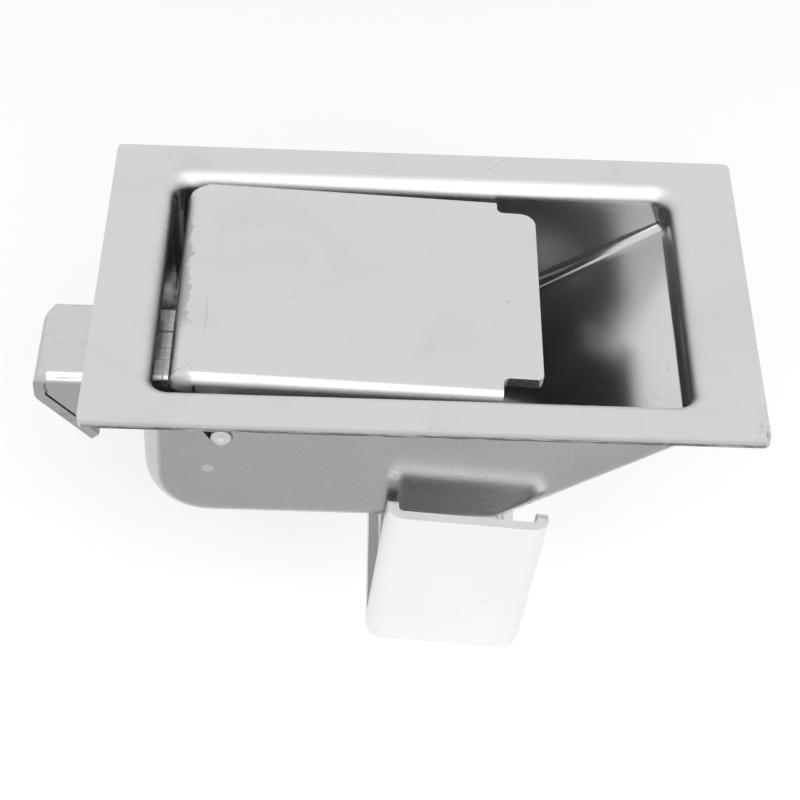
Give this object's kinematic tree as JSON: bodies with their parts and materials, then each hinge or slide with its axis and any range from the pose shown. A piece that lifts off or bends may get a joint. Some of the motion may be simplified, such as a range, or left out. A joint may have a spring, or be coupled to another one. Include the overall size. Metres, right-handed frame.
{
  "type": "flush paddle latch",
  "caption": "Flush paddle latch for a toolbox lid: a drawn steel pan with a lifting paddle, a spring slam bolt and a clamp bracket that grips the panel.",
  "frame": {"origin": "Middle of the flange, in the plane of its underside, which lies on the panel", "axes": "X from the bolt's nose towards the finger recess, Y across the paddle, Z out of the panel towards the user"},
  "size_m": [0.1324, 0.074, 0.0756],
  "materials": {
    "sheet_steel": "satin stainless sheet, drawn and folded",
    "turned_steel": "turned stainless",
    "spring_wire": "drawn spring wire",
    "zinc_plate": "bright zinc plating"
  },
  "bodies": {
    "pan_body": {"pan": "sheet_steel", "hinge_pin": "turned_steel", "bolt_rail": "sheet_steel", "rail_rivets": "turned_steel", "bolt_keeper": "turned_steel", "bolt_spring": "spring_wire", "clamp_stud": "zinc_plate"},
    "paddle_body": {"paddle": "sheet_steel", "paddle_spring": "spring_wire"},
    "bolt_body": {"latch_bolt": "sheet_steel", "spring_rod": "turned_steel"},
    "nut_body": {"clamp_nut": "zinc_plate", "lock_washer": "zinc_plate"},
    "washer_body": {"flat_washer": "zinc_plate"},
    "bracket_body": {"clamp_bracket": "zinc_plate"}
  },
  "joints": [
    {"name": "paddle_lift", "type": "hinge", "parent": "pan_body", "child": "paddle_body", "pos_m": [-0.0358, 0, -0.0091], "axis": [0, -1, 0], "range_deg": [0, 21], "stiffness_Nm_per_rad": 0.175, "springref_deg": -32.66, "deforming": ["paddle_spring"]},
    {"name": "bolt_slide", "type": "slide", "parent": "pan_body", "child": "bolt_body", "axis": [1, 0, 0], "range_m": [0, 0.0056], "deforming": ["bolt_spring"]},
    {"name": "clamp_slide", "type": "slide", "parent": "pan_body", "child": "nut_body", "axis": [0, 0, 1], "range_m": [0, 0.02]},
    {"name": "bracket_swivel", "type": "hinge", "parent": "nut_body", "child": "washer_body", "pos_m": [0.0057, 0, -0.0626], "axis": [0, 0, 1], "range_deg": [-3, 3]},
    {"name": "bracket_rock", "type": "hinge", "parent": "washer_body", "child": "bracket_body", "pos_m": [0.0057, 0, -0.0626], "axis": [0, -1, 0], "range_deg": [0, 10]}
  ],
  "couplings": [
    {"joint": "bolt_slide", "follows": "paddle_lift", "m_per_rad": 0.01446}
  ]
}
